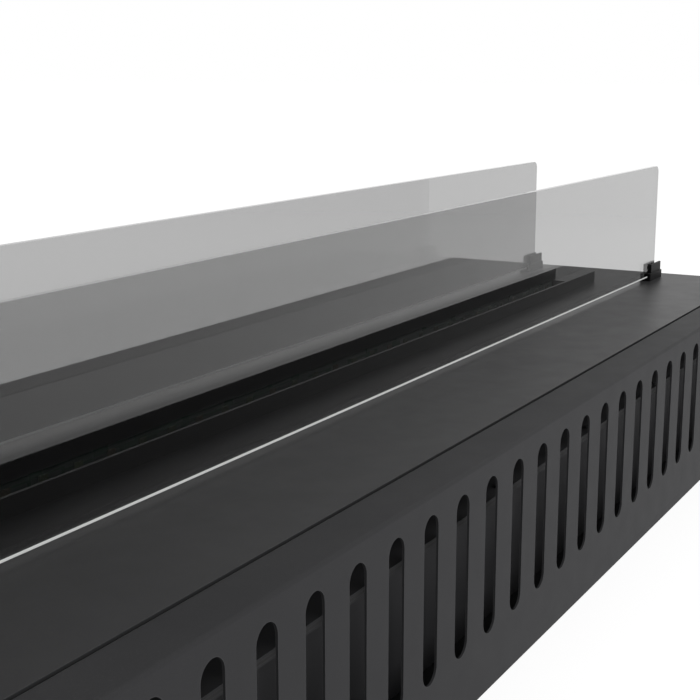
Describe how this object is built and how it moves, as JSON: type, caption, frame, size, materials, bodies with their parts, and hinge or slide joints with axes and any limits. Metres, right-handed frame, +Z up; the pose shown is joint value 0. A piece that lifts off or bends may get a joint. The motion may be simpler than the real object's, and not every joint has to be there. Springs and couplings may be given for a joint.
{
  "type": "water vapour fireplace insert",
  "caption": "Long low black ventilated casing with a drop-in top plate, a lipped mist slot with light strips and two clear glass screens in clips.",
  "frame": {"origin": "middle of the casing's underside, on the face it rests on", "axes": "+X along the length towards the mains inlet, +Y from the front to the rear, +Z up"},
  "size_m": [1.0161, 0.333, 0.2322],
  "materials": {
    "casing_black": "fine satin black powder coat",
    "plate_black": "satin black heat-proof coat",
    "clip_black": "satin black",
    "clear_glass": "clear toughened glass with polished edges",
    "stainless": "brushed",
    "zinc_steel": "zinc plated",
    "aluminium": "plain extruded",
    "circuit_green": "solder-masked circuit board",
    "lamp_amber": "unlit phosphor",
    "lamp_green": "unlit clear resin",
    "black_rubber": "matt",
    "black_plastic": "moulded",
    "grey_plastic": "moulded",
    "white_plastic": "moulded",
    "brass": "plain"
  },
  "bodies": {
    "casing": {"front_panel": "casing_black", "rear_panel": "casing_black", "left_end_panel": "casing_black", "right_end_panel": "casing_black", "base_tray": "casing_black", "corner_brackets": "zinc_steel", "plate_rail_front": "casing_black", "plate_rail_rear": "casing_black", "water_tank": "casing_black", "tank_pads": "black_rubber", "tank_seal": "black_rubber", "tank_cover": "casing_black", "cover_screws": "zinc_steel", "mist_duct": "plate_black", "led_bar_front": "aluminium", "led_bar_rear": "aluminium", "led_strip_front": "circuit_green", "led_strip_rear": "circuit_green", "leds_amber": "lamp_amber", "leds_green": "lamp_green", "transducer_rail": "stainless", "transducer_cups": "grey_plastic", "piezo_discs": "brass", "float_stem": "white_plastic", "fan_frame_1": "black_plastic", "fan_frame_2": "black_plastic", "fan_frame_3": "black_plastic", "fan_frame_4": "black_plastic", "fan_screws": "zinc_steel", "water_inlet": "white_plastic", "valve_body": "white_plastic", "valve_coil": "black_plastic", "valve_bracket": "zinc_steel", "drain_pipe": "white_plastic", "drain_cap": "black_plastic", "mains_inlet": "black_plastic", "inlet_pins": "zinc_steel", "switch_frame": "black_plastic", "power_supply": "aluminium", "supply_terminals": "black_plastic", "control_board": "circuit_green", "board_parts": "grey_plastic", "board_standoffs": "brass"},
    "top": {"top_plate": "plate_black", "front_lip": "plate_black", "rear_lip": "plate_black", "clip_front_left": "clip_black", "clip_front_right": "clip_black", "clip_rear_left": "clip_black", "clip_rear_right": "clip_black", "clip_screws": "zinc_steel"},
    "front_screen": {"glass_front": "clear_glass"},
    "rear_screen": {"glass_rear": "clear_glass"},
    "float": {"float": "white_plastic"},
    "rotor_1": {"fan_rotor_1": "black_plastic"},
    "rotor_2": {"fan_rotor_2": "black_plastic"},
    "rotor_3": {"fan_rotor_3": "black_plastic"},
    "rotor_4": {"fan_rotor_4": "black_plastic"},
    "rocker": {"switch_rocker": "black_plastic"}
  },
  "joints": [
    {"name": "top_lift", "type": "slide", "parent": "casing", "child": "top", "axis": [0, 0, 1], "range_m": [0, 0.06]},
    {"name": "front_screen_lift", "type": "slide", "parent": "top", "child": "front_screen", "axis": [0, 0, 1], "range_m": [0, 0.02]},
    {"name": "rear_screen_lift", "type": "slide", "parent": "top", "child": "rear_screen", "axis": [0, 0, 1], "range_m": [0, 0.02]},
    {"name": "float_rise", "type": "slide", "parent": "casing", "child": "float", "axis": [0, 0, 1], "range_m": [0, 0.03]},
    {"name": "fan_1_spin", "type": "hinge", "parent": "casing", "child": "rotor_1", "pos_m": [-0.23, -0.0851, 0.09], "axis": [0, 0, 1], "continuous": true},
    {"name": "fan_2_spin", "type": "hinge", "parent": "casing", "child": "rotor_2", "pos_m": [0.23, -0.0851, 0.09], "axis": [0, 0, 1], "continuous": true},
    {"name": "fan_3_spin", "type": "hinge", "parent": "casing", "child": "rotor_3", "pos_m": [-0.23, 0.0851, 0.09], "axis": [0, 0, 1], "continuous": true},
    {"name": "fan_4_spin", "type": "hinge", "parent": "casing", "child": "rotor_4", "pos_m": [0.23, 0.0851, 0.09], "axis": [0, 0, 1], "continuous": true},
    {"name": "rocker_tilt", "type": "hinge", "parent": "casing", "child": "rocker", "pos_m": [0.498, 0.01, 0.084], "axis": [0, 1, 0], "range_deg": [-20, 0]}
  ]
}
